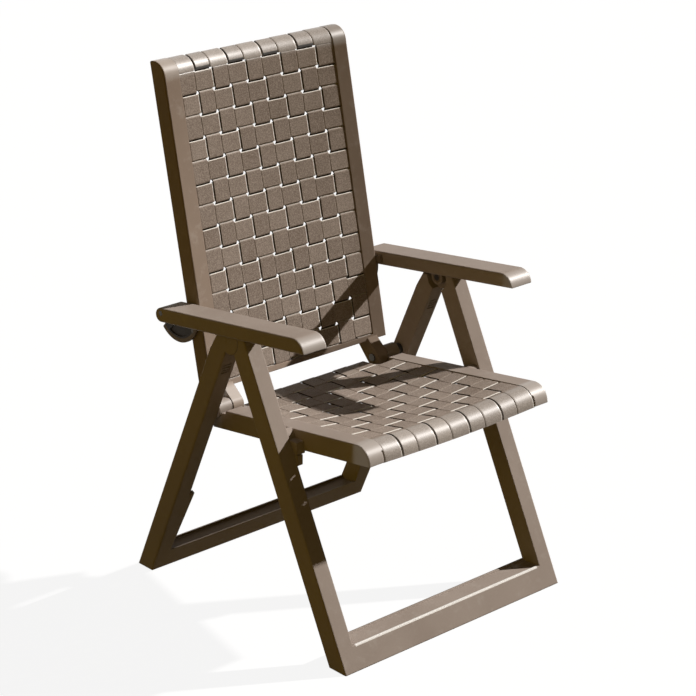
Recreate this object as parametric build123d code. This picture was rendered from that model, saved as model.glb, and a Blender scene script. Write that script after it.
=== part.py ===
from build123d import *
import math
import os

os.makedirs("parts", exist_ok=True)

# The chair faces -Y, its left side is +X, and it stands on z = 0 with its middle over the origin.

# Overall stance
half_width = 290.0
foot_reach = 313.6
leg_thickness = 36.0
front_leg_depth = 42.7
rear_leg_depth = 40.6
bar_height = 42.0

# Crossbar tops
lip_width = 5.0
rear_lip_width = 4.0
front_bar_recess = 2.5
rear_bar_recess = 6.0

# Pivots in the side view: the knuckle's place, the others from it and from the edges of their legs
knuckle_y = 19.0
knuckle_z = 570.0
front_edge_to_knuckle = 49.65
knuckle_to_rear_edge = 43.2
seat_pivot_drop = 168.0
seat_pivot_from_edge = 19.05
hinge_drop = 184.0
hinge_from_edge = 25.02
latch_rise = 5.0
hinge_to_latch_run = 86.0

# Soft edges
leg_edge_radius = 3.0
band_edge_radius = 3.0

# Fits
running_gap = 0.05
side_gap = 0.4
cut_over = 5.0

# Knuckle
head_radius = 26.0
scoop_gap = 1.0
cap_radius = 33.0
front_leg_rise = 20.0
cheek_thickness = 7.5
head_thickness = 13.5
knuckle_pin_radius = 6.5
bush_wall = 3.5
cap_start = 30.0
pin_inset = 0.5

# Slide track in the rear legs
slide_radius = 8.5
slide_depth = 6.6
track_side_gap = 1.6
track_end_gap = 3.0
track_depth = 8.0
track_travel = 206.0
flange_width = 8.0
flange_rise = 12.5
flange_length = 150.0
flange_end = 418.0

# Grooves in the front of the rear legs
groove_count = 4
groove_height = 3.0
groove_pitch = 6.5
groove_depth = 2.0
groove_length = 20.0
groove_start = 63.0

# Widths, each from the piece beside it
seat_to_leg = 17.5
back_in_seat = 3.5
side_band_width = 35.9
barrel_length = 32.0
barrel_proud = 3.5
lug_to_barrel = 2.0
lug_width = 26.0
rail_to_lug = 4.0
arm_overhang = 10.0
arm_to_sector = 0.4

# Seat
seat_reach = 180.0
seat_tilt = 7.85
skirt_depth = 38.0
nose_radius = 33.0
seat_wall = 3.5
inner_wall_depth = 16.0
side_end_to_hinge = 29.8
rear_end_past_hinge = 2.2
skirt_past_hinge = 12.2
row_end_to_hinge = -1.4
rear_step = 6.0
rear_wall_depth = 20.0
nose_sag = 5.0
seat_bulge = 11.5
barrel_radius = 17.5
skirt_corner_drop = 20.0

# Seat pivots and stops
pivot_boss_radius = 15.0
pivot_pin_radius = 6.0
pivot_pin_length = 30.0
stop_to_pivot = 29.0
stop_foot_half = 9.0
stop_drop = 25.0
stop_height = 20.0
stop_half_length = 12.0
stop_thickness = 13.0

# Woven field
column_count = 9
seat_row_count = 9
seat_field_start = 10.0
rail_column_count = 7
back_row_pitch = 43.1
back_row_count = 14
strap_gap = 5.8
strap_thickness = 1.8
weave_height = 2.0
plateau_share = 0.86
wrap_height = 2.0
wrap_gap = 0.1
rail_sink = 10.5

# Back
foot_behind_hinge = 17.8
foot_above_hinge = 41.3
back_lean = 12.3
stile_depth = 37.0
roll_radius = 31.0
back_wall = 3.5
back_inner_depth = 18.0
bottom_rail_height = 10.0
back_low_sag = 4.5
back_top_sag = 14.5
stile_solid_length = 160.0

# Back hinge
lug_radius = 18.5
lug_foot_drop = 8.0
lug_foot_front = 3.0
lug_foot_rear = 34.0
hinge_pin_radius = 6.0
pin_head_radius = 8.0
pin_head_length = 2.5
pin_head_gap = 0.6
collar_radius = 12.0

# Latch sectors
sector_behind_latch = 26.0
sector_below_latch = 18.0
sector_radius = 63.0
sector_thickness = 5.2
sector_web = 2.6
sector_rim = 12.0
sector_gap = 0.3
tip_gap = 0.3
wing_depth = 16.0
wing_angle = 13.5
notch_step = 5.5
notch_depth = 3.0
notch_reach = 2
screw_head_radius = 4.5
screw_head_height = 2.0
screw_radius = 2.2
screw_length = 20.0
low_screw_depth = 27.6
low_screw_drop = 37.7
high_screw_depth = 23.6
high_screw_drop = 9.9

# Armrests
arm_tilt = 7.35
arm_top = 38.5
arm_bottom = 10.4
arm_front = 222.3
arm_past_latch = 18.4
arm_wall = 3.2
arm_edge_radius = 5.0
arm_lug_half = 14.5
latch_pin_radius = 5.0
latch_pin_proud = 0.3

# Worked out: widths from the outside in
leg_inner = half_width - leg_thickness
seat_half_width = leg_inner - seat_to_leg
back_half_width = seat_half_width - back_in_seat
field_half_width = back_half_width - side_band_width
column_pitch = 2 * field_half_width / column_count
barrel_outer = seat_half_width + barrel_proud
barrel_inner = barrel_outer - barrel_length
lug_outer = barrel_inner - lug_to_barrel
lug_inner = lug_outer - lug_width
rear_rail_half_width = lug_inner - rail_to_lug
sector_inner = back_half_width + sector_gap
sector_outer = sector_inner + sector_thickness
arm_inner = sector_outer + arm_to_sector
arm_outer = half_width + arm_overhang

# Worked out: both legs aim at the knuckle, and the other pivots stand on them
front_slope = (foot_reach + knuckle_y - front_edge_to_knuckle) / knuckle_z
rear_slope = (foot_reach - knuckle_y - knuckle_to_rear_edge) / knuckle_z
front_rake = math.degrees(math.atan(front_slope))
rear_rake = math.degrees(math.atan(rear_slope))
front_leg_run = front_leg_depth / math.cos(math.radians(front_rake))
rear_leg_run = rear_leg_depth / math.cos(math.radians(rear_rake))
knuckle_in_edge = (rear_leg_run - knuckle_to_rear_edge) * math.cos(math.radians(rear_rake))
seat_pivot_z = knuckle_z - seat_pivot_drop
seat_pivot_y = seat_pivot_from_edge + front_slope * seat_pivot_z - foot_reach
hinge_z = knuckle_z - hinge_drop
hinge_y = foot_reach - rear_leg_run - rear_slope * hinge_z + hinge_from_edge
latch_y = hinge_y + hinge_to_latch_run
latch_z = knuckle_z + latch_rise

# Worked out: lengths of the seat and the armrests, and the fits
seat_front_y = seat_pivot_y - seat_reach
seat_front_z = hinge_z + (hinge_y - seat_front_y) * math.tan(math.radians(seat_tilt))
hinge_along = (hinge_y - seat_front_y) / math.cos(math.radians(seat_tilt))
seat_side_end = hinge_along - side_end_to_hinge
seat_rear_end = hinge_along + rear_end_past_hinge
skirt_end = hinge_along + skirt_past_hinge
seat_row_pitch = (hinge_along - row_end_to_hinge - seat_field_start) / seat_row_count
rail_start = seat_field_start + (seat_row_count - 1) * seat_row_pitch
stop_foot_y = seat_pivot_y - stop_to_pivot
stop_top_z = seat_pivot_z - stop_drop
latch_run = latch_y - knuckle_y
latch_along = latch_run * math.cos(math.radians(arm_tilt)) - latch_rise * math.sin(math.radians(arm_tilt))
arm_rear = latch_along + arm_past_latch
scoop_radius = head_radius + scoop_gap
cheek_inner = half_width - cheek_thickness
head_outer = cheek_inner - side_gap
head_inner = head_outer - head_thickness
lug_side = head_inner - side_gap
bush_radius = knuckle_pin_radius + running_gap + bush_wall
strap_width_long = column_pitch - strap_gap
hinge_to_latch = math.hypot(latch_y - hinge_y, latch_z - hinge_z)
hinge_to_latch_angle = math.degrees(math.atan2(latch_z - hinge_z, latch_y - hinge_y))
tip_radius = hinge_to_latch - latch_pin_radius - tip_gap

knuckle = Pos(knuckle_y, knuckle_z)
hinge = Pos(hinge_y, hinge_z)
seat_pivot = Pos(seat_pivot_y, seat_pivot_z)
latch = Pos(latch_y, latch_z)

# A side view is drawn in (y, z). The seat's own view is (along, up), the back's (rearward, up),
# and an armrest's (rearward, up) from the knuckle.
seat_view = Pos(seat_front_y, seat_front_z) * Rot(0, 0, -seat_tilt)
back_view = Pos(hinge_y + foot_behind_hinge, hinge_z + foot_above_hinge) * Rot(0, 0, -back_lean)
arm_view = knuckle * Rot(0, 0, -arm_tilt)
sector_middle = Pos(latch_y + sector_behind_latch, latch_z - sector_below_latch)
sector_level = (back_view.inverse() * sector_middle).position.Y
screw_places = (
    back_view * Pos(low_screw_depth, sector_level - low_screw_drop),
    back_view * Pos(high_screw_depth, sector_level - high_screw_drop),
)


def outline(*points):
    """Closed flat face through the points."""
    return make_face(Polyline(*points, close=True))


def span(low_x, high_x, low_y, high_y):
    """Rectangle between two places each way."""
    return Pos((low_x + high_x) / 2, (low_y + high_y) / 2) * Rectangle(high_x - low_x, high_y - low_y)


def across(view, x_from, x_to):
    """Side view face as a solid between two places across the chair."""
    return extrude(Plane.YZ.offset(x_from) * view, x_to - x_from)


def both(part):
    """The left piece and its mirror image on the right."""
    return part + mirror(part, about=Plane.YZ)


def turned(part, axis, angle):
    """Face in the middle plane carried round an axis towards the left."""
    return revolve(part, axis, -angle)


def in_view(view, x, y):
    """Place of a point of a tilted view in the (y, z) side view."""
    return (view * Pos(x, y)).position


# Legs, each a raked band in the side view

def front_band(low_z, high_z, front_in=0.0, rear_in=0.0):
    front_foot = -foot_reach + front_in
    rear_foot = -foot_reach + front_leg_run - rear_in
    return outline(
        (front_foot + front_slope * low_z, low_z),
        (rear_foot + front_slope * low_z, low_z),
        (rear_foot + front_slope * high_z, high_z),
        (front_foot + front_slope * high_z, high_z),
    )


def rear_band(low_z, high_z, front_in=0.0, rear_in=0.0):
    rear_foot = foot_reach - rear_in
    front_foot = foot_reach - rear_leg_run + front_in
    return outline(
        (rear_foot - rear_slope * low_z, low_z),
        (front_foot - rear_slope * low_z, low_z),
        (front_foot - rear_slope * high_z, high_z),
        (rear_foot - rear_slope * high_z, high_z),
    )


def soft_outside(leg, least_length):
    """Rounds the long edges of a leg's outer face."""
    rim = [edge for edge in leg.edges() if edge.length > least_length]
    return fillet([edge for edge in rim if abs(edge.center().X - half_width) < running_gap], leg_edge_radius)


def soft_top(solid, x, least_length, arc_radius):
    """Rounds the outer edge of a seat or back side, along its long flat and the curve at its end."""
    rim = [edge for edge in solid.edges() if abs(edge.center().X - x) < running_gap]
    circles = [edge for edge in rim if edge.geom_type == GeomType.CIRCLE]
    curves = [edge for edge in circles if abs(edge.radius - arc_radius) < running_gap]
    ends = [end for curve in curves for end in (curve.position_at(0), curve.position_at(1))]
    longs = [edge for edge in rim if edge.length > least_length]
    flats = [edge for edge in longs if any(touches(edge, end) for end in ends)]
    return fillet(curves + flats, band_edge_radius)


def touches(edge, place):
    return min((edge.position_at(share) - place).length for share in (0, 1)) < running_gap


def front_leg():
    band = front_band(0, knuckle_z + front_leg_rise)
    full = soft_outside(across(band, leg_inner, half_width), 2 * front_leg_run)
    full -= across(knuckle * Circle(scoop_radius), leg_inner - cut_over, half_width + cut_over)
    head = across(band + knuckle * Circle(head_radius), head_inner, head_outer)
    foot_z = stop_top_z - stop_height
    stop = across(
        span(stop_foot_y - stop_half_length, stop_foot_y + stop_half_length, foot_z, stop_top_z),
        leg_inner - stop_thickness,
        leg_inner,
    )
    leg = full + head + stop
    leg -= across(knuckle * Circle(knuckle_pin_radius + running_gap), head_inner - cut_over, head_outer + cut_over)
    leg -= across(seat_pivot * Circle(pivot_pin_radius), leg_inner - cut_over, leg_inner + pivot_pin_length)
    return leg


def front_frame():
    bar = across(front_band(0, bar_height), -leg_inner, leg_inner)
    recess = front_band(bar_height - front_bar_recess, bar_height + cut_over, lip_width, rear_lip_width)
    return both(front_leg()) + bar - across(recess, -leg_inner, leg_inner)


def track_line(along, behind):
    """Place at a distance down the rear leg from the knuckle and behind the line through it."""
    sine = math.sin(math.radians(rear_rake))
    cosine = math.cos(math.radians(rear_rake))
    return (knuckle_y + along * sine + behind * cosine, knuckle_z - along * cosine + behind * sine)


def hinge_on_track():
    """Where the hinge stands in the same two measures."""
    sine = math.sin(math.radians(rear_rake))
    cosine = math.cos(math.radians(rear_rake))
    rise = hinge_z - knuckle_z
    run = hinge_y - knuckle_y
    return (run * sine - rise * cosine, run * cosine + rise * sine)


def track():
    start, behind = hinge_on_track()
    half = slide_radius + track_side_gap
    ends = (start - track_end_gap, start + track_travel + track_end_gap)
    middle = outline(
        track_line(ends[0], behind - half),
        track_line(ends[1], behind - half),
        track_line(ends[1], behind + half),
        track_line(ends[0], behind + half),
    )
    rounds = [Pos(*track_line(end, behind)) * Circle(half) for end in ends]
    return across(middle + rounds[0] + rounds[1], leg_inner - cut_over, leg_inner + track_depth)


def track_flange():
    """Wedge along the leg's front edge that thickens towards the foot and ends in a step."""
    low = track_line(flange_end, -knuckle_in_edge)
    high = track_line(flange_end - flange_length, -knuckle_in_edge)
    plan = Plane(
        origin=(leg_inner, low[0], low[1]),
        x_dir=(-1, 0, 0),
        z_dir=(0, math.cos(math.radians(rear_rake)), math.sin(math.radians(rear_rake))),
    )
    length = math.hypot(high[0] - low[0], high[1] - low[1])
    wedge = outline((0, 0), (flange_rise, 0), (0, -length))
    return extrude(plan * wedge, flange_width)


def rear_leg():
    lower = rear_band(0, knuckle_z - cap_start)
    round_top = make_hull((lower + knuckle * Circle(cap_radius)).edges())
    capped = round_top & rear_band(0, knuckle_z + cap_radius)
    leg = soft_outside(across(capped, leg_inner, half_width), leg_edge_radius)
    leg -= across(knuckle * Circle(scoop_radius), leg_inner - cut_over, cheek_inner)
    top = span(knuckle_y - leg_thickness, knuckle_y + leg_thickness, knuckle_z, knuckle_z + 2 * cap_radius)
    leg -= across(top, leg_inner - cut_over, head_inner)
    leg += across(knuckle * Circle(head_radius), cheek_inner, half_width)
    leg += track_flange()
    leg -= track()
    leg -= across(knuckle * Circle(knuckle_pin_radius), cheek_inner - cut_over, half_width - pin_inset)
    middle = (leg_inner + half_width) / 2
    for number in range(groove_count):
        along = groove_start + number * groove_pitch
        groove = outline(
            track_line(along, -knuckle_in_edge - cut_over),
            track_line(along, -knuckle_in_edge + groove_depth),
            track_line(along + groove_height, -knuckle_in_edge + groove_depth),
            track_line(along + groove_height, -knuckle_in_edge - cut_over),
        )
        leg -= across(groove, middle - groove_length / 2, middle + groove_length / 2)
    return leg


def rear_frame():
    bar = across(rear_band(0, bar_height), -leg_inner, leg_inner)
    recess = rear_band(bar_height - rear_bar_recess, bar_height + cut_over, rear_lip_width, rear_lip_width)
    return both(rear_leg()) + bar - across(recess, -leg_inner, leg_inner)


def knuckle_pin():
    return across(knuckle * Circle(knuckle_pin_radius), leg_inner + pin_inset, half_width - pin_inset)


def armrest_bush():
    ring = Circle(bush_radius) - Circle(knuckle_pin_radius + running_gap)
    return across(knuckle * ring, leg_inner + pin_inset, lug_side)


def seat_pivot_pin():
    return across(seat_pivot * Circle(pivot_pin_radius), seat_half_width, leg_inner + pivot_pin_length)


# Woven straps

def cell_heights(pitch, count, start, first_over, middle_height):
    """Stations of a strap that runs over and under: two for each cell, at the ends of its flat.

    Both ends of the strap lie half way between over and under.
    """
    stations = []
    for number in range(count):
        centre = start + (number + 0.5) * pitch
        over = weave_height if (number % 2 == 0) == first_over else -weave_height
        for side in (-1, 1):
            place = centre + side * pitch * plateau_share / 2
            stations.append((place, middle_height(place) + over))
    end = start + count * pitch
    return [(start, middle_height(start))] + stations + [(end, middle_height(end))]


def strap_face(stations):
    upper = [(place, height + strap_thickness / 2) for place, height in stations]
    lower = [(place, height - strap_thickness / 2) for place, height in reversed(stations)]
    return outline(*upper, *lower)


def dish(x, half):
    """Share of the full hollow at a place across: all of it in the middle, none at the edge."""
    return 1 - (x / half) ** 2


def seat_sag(along):
    share = along / seat_rear_end
    return nose_sag * (1 - share) + seat_bulge * math.sin(math.pi * share)


def back_sag(up):
    return back_low_sag + (back_top_sag - back_low_sag) * up / (back_row_count * back_row_pitch)


strap_sink = weave_height + strap_thickness / 2


def column_place(number):
    return (number - (column_count - 1) / 2) * column_pitch


def seat_strap_long(number):
    x = column_place(number)
    beside_lug = number in (0, column_count - 1)
    stations = cell_heights(
        seat_row_pitch,
        seat_row_count - 1 if beside_lug else seat_row_count,
        seat_field_start,
        number % 2 == 0,
        lambda along: -strap_sink - seat_sag(along) * dish(x, seat_half_width),
    )
    mean_sag = sum(seat_sag(place) for place, height in stations) / len(stations)
    slope = 2 * mean_sag * x / seat_half_width ** 2
    face = strap_face([(place, height - slope * strap_width_long / 2) for place, height in stations])
    tilt = math.radians(seat_tilt)
    way = Vector(1, slope * math.sin(tilt), slope * math.cos(tilt))
    start = Plane.YZ.offset(x - strap_width_long / 2)
    return extrude(start * (seat_view * face), strap_width_long * way.length, dir=way)


def seat_strap_across(number):
    centre = seat_field_start + (number + 0.5) * seat_row_pitch
    width = seat_row_pitch - strap_gap
    on_rail = number == seat_row_count - 1
    cells = rail_column_count if on_rail else column_count
    stations = cell_heights(
        column_pitch,
        cells,
        -cells * column_pitch / 2,
        (number % 2 == 1) != on_rail,
        lambda x: -strap_sink - seat_sag(centre) * dish(x, seat_half_width),
    )
    tilt = math.radians(seat_tilt)
    start = in_view(seat_view, centre - width / 2, 0)
    plane = Plane(origin=(0, start.X, start.Y), x_dir=(1, 0, 0), z_dir=(0, -math.cos(tilt), math.sin(tilt)))
    return extrude(plane * strap_face(stations), -width)


def back_strap_up(number):
    x = column_place(number)
    low_row_over = (back_row_count + number) % 2 == 1
    stations = cell_heights(
        back_row_pitch,
        back_row_count,
        0,
        low_row_over,
        lambda up: -strap_sink - back_sag(up) * dish(x, back_half_width),
    )
    mean_sag = sum(back_sag(place) for place, height in stations) / len(stations)
    slope = 2 * mean_sag * x / back_half_width ** 2
    lean = math.radians(back_lean)
    face = strap_face([(place, height - slope * strap_width_long / 2) for place, height in stations])
    way = Vector(1, -slope * math.cos(lean), slope * math.sin(lean))
    standing = back_view * Rot(0, 0, 90) * face
    return extrude(Plane.YZ.offset(x - strap_width_long / 2) * standing, strap_width_long * way.length, dir=way)


def back_strap_across(number):
    centre = (number + 0.5) * back_row_pitch
    width = back_row_pitch - strap_gap
    rows_from_top = back_row_count - 1 - number
    stations = cell_heights(
        column_pitch,
        column_count,
        -field_half_width,
        rows_from_top % 2 == 1,
        lambda x: -strap_sink - back_sag(centre) * dish(x, back_half_width),
    )
    lean = math.radians(back_lean)
    start = in_view(back_view, 0, centre - width / 2)
    plane = Plane(origin=(0, start.X, start.Y), x_dir=(1, 0, 0), z_dir=(0, -math.sin(lean), -math.cos(lean)))
    return extrude(plane * strap_face(stations), -width)


def wrap_ring(middle, radius):
    """Side view of a strap laid over a rolled edge, from straight ahead of it to straight above."""
    outer = Pos(*middle) * Circle(radius)
    inner = Pos(*middle) * Circle(radius - strap_thickness)
    corner = span(middle[0] - radius, middle[0], middle[1], middle[1] + radius)
    return (outer - inner) & corner


def back_roll_wrap(number):
    """Strap of the back that runs on over the top roll, sloped across like the roll under it."""
    x = column_place(number)
    slope = 2 * back_top_sag * x / back_half_width ** 2
    depth = back_top_sag * dish(x, back_half_width) + slope * strap_width_long / 2
    lean = math.radians(back_lean)
    way = Vector(1, -slope * math.cos(lean), slope * math.sin(lean))
    ring = wrap_ring((roll_radius, back_field_top), roll_radius)
    face = back_view * Pos(depth, 0) * ring
    strap = extrude(Plane.YZ.offset(x - strap_width_long / 2) * face, strap_width_long * way.length, dir=way)
    return strap - behind_stiles(-back_half_width)


def seat_nose_wrap(number):
    """Strap of the seat that runs on over the nose, sloped across like the nose under it."""
    x = column_place(number)
    slope = 2 * nose_sag * x / seat_half_width ** 2
    depth = nose_sag * dish(x, seat_half_width) + slope * strap_width_long / 2
    tilt = math.radians(seat_tilt)
    way = Vector(1, slope * math.sin(tilt), slope * math.cos(tilt))
    ring = wrap_ring((0, -nose_radius), nose_radius)
    flat = span(0, seat_field_start - wrap_gap, -strap_thickness, 0)
    skirt = span(-nose_radius, strap_thickness - nose_radius, -skirt_depth, -nose_radius)
    face = seat_view * Pos(0, -depth) * (ring + flat + skirt)
    return extrude(Plane.YZ.offset(x - strap_width_long / 2) * face, strap_width_long * way.length, dir=way)


# Seat surround

def seat_across(view, x_from, x_to):
    return across(seat_view * view, x_from, x_to)


def nose_face(inset, end):
    """Side view of the rolled front edge, drawn inwards by a wall."""
    radius = nose_radius - inset
    arc = CenterArc((0, -nose_radius), radius, 90, 90)
    lines = Polyline((-radius, -nose_radius), (-radius, -skirt_depth - end), (0, -skirt_depth - end), (0, -inset))
    return make_face(arc + lines)


def seat_side():
    """One side of the seat: a channel open below, with the nose's curve and the hinge barrel."""
    rear = outline(
        (0, 0),
        (seat_side_end, 0),
        (seat_side_end, -rear_step),
        (seat_rear_end, -rear_step),
        (skirt_end, -skirt_corner_drop),
        (skirt_end, -skirt_depth),
        (0, -skirt_depth),
    )
    side = seat_across(rear + nose_face(0, 0), field_half_width, seat_half_width)
    side = soft_top(side, seat_half_width, seat_side_end / 2, nose_radius)
    hollow = span(0, seat_side_end - seat_wall, -skirt_depth - cut_over, -seat_wall) + nose_face(seat_wall, cut_over)
    side -= seat_across(hollow, field_half_width + seat_wall, seat_half_width - seat_wall)
    below = span(-nose_radius - cut_over, skirt_end + cut_over, -skirt_depth - cut_over, -inner_wall_depth)
    side -= seat_across(below, field_half_width - cut_over, field_half_width + seat_wall)
    lug_notch = span(seat_side_end, skirt_end + cut_over, -skirt_depth - cut_over, seat_wall)
    side -= seat_across(lug_notch, field_half_width - cut_over, barrel_inner)
    side += across(hinge * Circle(barrel_radius), barrel_inner, barrel_outer)
    side -= across(hinge * Circle(hinge_pin_radius + running_gap), barrel_inner - cut_over, barrel_outer + cut_over)
    foot = span(stop_foot_y - stop_foot_half, seat_pivot_y, stop_top_z + side_gap, seat_pivot_z)
    boss = across(foot + seat_pivot * Circle(pivot_boss_radius), seat_half_width - seat_wall, leg_inner - side_gap)
    side += boss
    bore = seat_pivot * Circle(pivot_pin_radius + running_gap)
    return side - across(bore, seat_half_width - 2 * seat_wall, leg_inner + cut_over)


def seat_nose():
    """Left half of the rolled front edge, which dips a little towards the middle."""
    under = wrap_height + seat_wall
    outer = span(0, seat_field_start, -inner_wall_depth, -wrap_height) + nose_face(wrap_height, 0)
    inner = span(0, seat_field_start - seat_wall, -skirt_depth - cut_over, -under) + nose_face(under, cut_over)
    radius = (seat_half_width ** 2 + nose_sag ** 2) / (2 * nose_sag)
    centre = in_view(seat_view, 0, radius - nose_sag)
    tilt = math.radians(seat_tilt)
    axis = Axis((0, centre.X, centre.Y), (0, math.cos(tilt), -math.sin(tilt)))
    reach = field_half_width + seat_wall / 2
    section = Plane.YZ * (seat_view * Pos(0, -nose_sag) * (outer - inner))
    return turned(section, axis, math.degrees(math.asin(reach / radius)))


def seat_rear():
    """Rear rail between the hinge lugs, open below."""
    face = span(rail_start, seat_rear_end, -rear_wall_depth, -rail_sink)
    rail = seat_across(face, -rear_rail_half_width, rear_rail_half_width)
    tie = span(rail_start, seat_side_end, -inner_wall_depth, -rail_sink)
    rail += seat_across(tie, -field_half_width - seat_wall / 2, field_half_width + seat_wall / 2)
    under = rail_sink + seat_wall
    hollow = span(rail_start + seat_wall, seat_rear_end - seat_wall, -rear_wall_depth - cut_over, -under)
    end = rear_rail_half_width - seat_wall
    return rail - seat_across(hollow, -end, end)


def seat_frame():
    return both(seat_side() + seat_nose()) + seat_rear()


# Back surround

def back_across(view, x_from, x_to):
    return across(back_view * view, x_from, x_to)


back_field_top = back_row_count * back_row_pitch


def roll_face(inset):
    """Side view of the rolled top edge, drawn inwards by a wall, open at the rear."""
    radius = roll_radius - inset
    arc = CenterArc((roll_radius, back_field_top), radius, 90, 90)
    lines = Polyline(
        (inset, back_field_top),
        (stile_depth, back_field_top),
        (stile_depth, back_field_top + radius),
        (roll_radius, back_field_top + radius),
    )
    return make_face(arc + lines)


def tangent_place(x, y, side):
    """Where a line from a point of the back's view touches the lug's round end."""
    middle = (back_view.inverse() * hinge).position
    run = x - middle.X
    rise = y - middle.Y
    angle = math.atan2(rise, run) + side * math.acos(lug_radius / math.hypot(run, rise))
    return (middle.X + lug_radius * math.cos(angle), middle.Y + lug_radius * math.sin(angle))


def lug_face():
    """Hinge lug that tapers from its round end up to its foot on the bottom rail."""
    web = outline(
        (lug_foot_front, 0),
        (lug_foot_rear, 0),
        (lug_foot_rear, -lug_foot_drop),
        tangent_place(lug_foot_rear, -lug_foot_drop, -1),
        tangent_place(lug_foot_front, 0, 1),
    )
    return back_view * web + hinge * Circle(lug_radius)


def back_stile():
    side = span(0, stile_depth, -bottom_rail_height, back_field_top) + roll_face(0)
    stile = back_across(side, field_half_width, back_half_width)
    stile = soft_top(stile, back_half_width, back_field_top / 2, roll_radius)
    hollow = span(back_wall, stile_depth + cut_over, stile_solid_length, back_field_top)
    stile -= back_across(hollow, field_half_width + back_wall, back_half_width - back_wall)
    behind = span(back_inner_depth, stile_depth + cut_over, stile_solid_length, back_field_top)
    stile -= back_across(behind, field_half_width - cut_over, field_half_width + back_wall)
    stile += across(lug_face(), lug_inner, lug_outer)
    return stile - across(hinge * Circle(hinge_pin_radius + running_gap), lug_inner - cut_over, lug_outer + cut_over)


def back_roll():
    """Left half of the rolled top edge, hollow towards the sitter like the woven field below it."""
    under = wrap_height + back_wall
    shell = roll_face(wrap_height) - Pos(0, -cut_over) * roll_face(under) - roll_face(under)
    shell += span(wrap_height, back_inner_depth, back_field_top, back_field_top + back_wall)
    radius = (back_half_width ** 2 + back_top_sag ** 2) / (2 * back_top_sag)
    centre = in_view(back_view, back_top_sag - radius, 0)
    lean = math.radians(back_lean)
    axis = Axis((0, centre.X, centre.Y), (0, math.sin(lean), math.cos(lean)))
    reach = field_half_width + back_wall / 2
    section = Plane.YZ * (back_view * Pos(back_top_sag, 0) * shell)
    roll = turned(section, axis, math.degrees(math.asin(reach / radius)))
    return roll - behind_stiles(-cut_over)


def behind_stiles(x_from):
    """Room behind the back, which the hollowed top edge is trimmed by."""
    room = span(stile_depth, stile_depth + back_top_sag + cut_over, 0, back_field_top + 2 * roll_radius)
    return back_across(room, x_from, back_half_width)


def back_frame():
    bottom = back_across(span(0, back_inner_depth, -bottom_rail_height, 0), 0, field_half_width)
    return both(back_stile() + back_roll() + bottom)


def back_hinge_pin():
    """Pin through lug and barrel, with the collar and the head that slides in the track."""
    head_start = lug_inner - pin_head_gap
    pin = across(hinge * Circle(pin_head_radius), head_start - pin_head_length, head_start)
    pin += across(hinge * Circle(hinge_pin_radius), head_start, barrel_outer + side_gap)
    pin += across(hinge * Circle(collar_radius), barrel_outer + side_gap, leg_inner - side_gap)
    return pin + across(hinge * Circle(slide_radius), leg_inner - side_gap, leg_inner + slide_depth)


def latch_sector():
    """Half-round plate on the stile, notched along an arc about the hinge."""
    disc = sector_middle * Circle(sector_radius)
    start = hinge_to_latch_angle
    ring = Circle(tip_radius) - Circle(tip_radius - wing_depth)
    wedge = make_face(
        Polyline(
            (0, 0),
            (2 * tip_radius * math.cos(math.radians(start)), 2 * tip_radius * math.sin(math.radians(start))),
            (
                2 * tip_radius * math.cos(math.radians(start + wing_angle)),
                2 * tip_radius * math.sin(math.radians(start + wing_angle)),
            ),
            close=True,
        )
    )
    plate = (disc & hinge * Circle(tip_radius)) + hinge * (ring & wedge)
    for number in range(-notch_reach, notch_reach + 1):
        angle = math.radians(start + number * notch_step)
        place = tip_radius - notch_depth + latch_pin_radius
        notch = Pos(place * math.cos(angle), place * math.sin(angle)) * Circle(latch_pin_radius + tip_gap)
        plate -= hinge * notch
    solid = across(plate, sector_inner, sector_outer)
    web = sector_middle * Circle(sector_radius - sector_rim) & hinge * Circle(tip_radius - wing_depth)
    solid -= across(web, sector_inner + sector_web, sector_outer + cut_over)
    for place in screw_places:
        solid += across(place * Circle(2 * screw_head_radius), sector_inner, sector_outer)
        solid -= across(place * Circle(screw_radius), sector_inner - cut_over, sector_outer + cut_over)
        solid -= across(place * Circle(screw_head_radius), sector_outer - screw_head_height, sector_outer + cut_over)
    return solid


def sector_screw(place):
    head = across(place * Circle(screw_head_radius), sector_outer - screw_head_height, sector_outer - pin_inset)
    tail = sector_outer - screw_head_height - screw_length
    return head + across(place * Circle(screw_radius), tail, sector_outer - screw_head_height)


def screw_bores():
    tail = sector_outer - screw_head_height - screw_length
    bores = [across(place * Circle(screw_radius), tail, sector_inner + cut_over) for place in screw_places]
    return both(bores[0] + bores[1])


# Armrests

def arm_face(inset, drop):
    """Side view of an armrest drawn inwards by a wall, its underside lowered."""
    depth = arm_top - arm_bottom
    nose = depth - inset
    tail = depth / 2 - inset
    middle = (arm_top + arm_bottom) / 2
    front = Pos(-arm_front + depth, arm_bottom) * Circle(nose)
    front &= span(-arm_front, -arm_front + depth, arm_bottom, arm_top)
    rear = Pos(arm_rear - depth / 2, middle) * Circle(tail)
    body = span(-arm_front + depth, arm_rear - depth / 2, arm_bottom, arm_top - inset)
    if not drop:
        return front + rear + body
    below = span(-arm_front + inset, arm_rear - inset, arm_bottom - drop, arm_bottom)
    rear_fill = span(arm_rear - depth / 2, arm_rear - inset, arm_bottom - drop, middle)
    return front + rear + body + below + rear_fill


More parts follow.
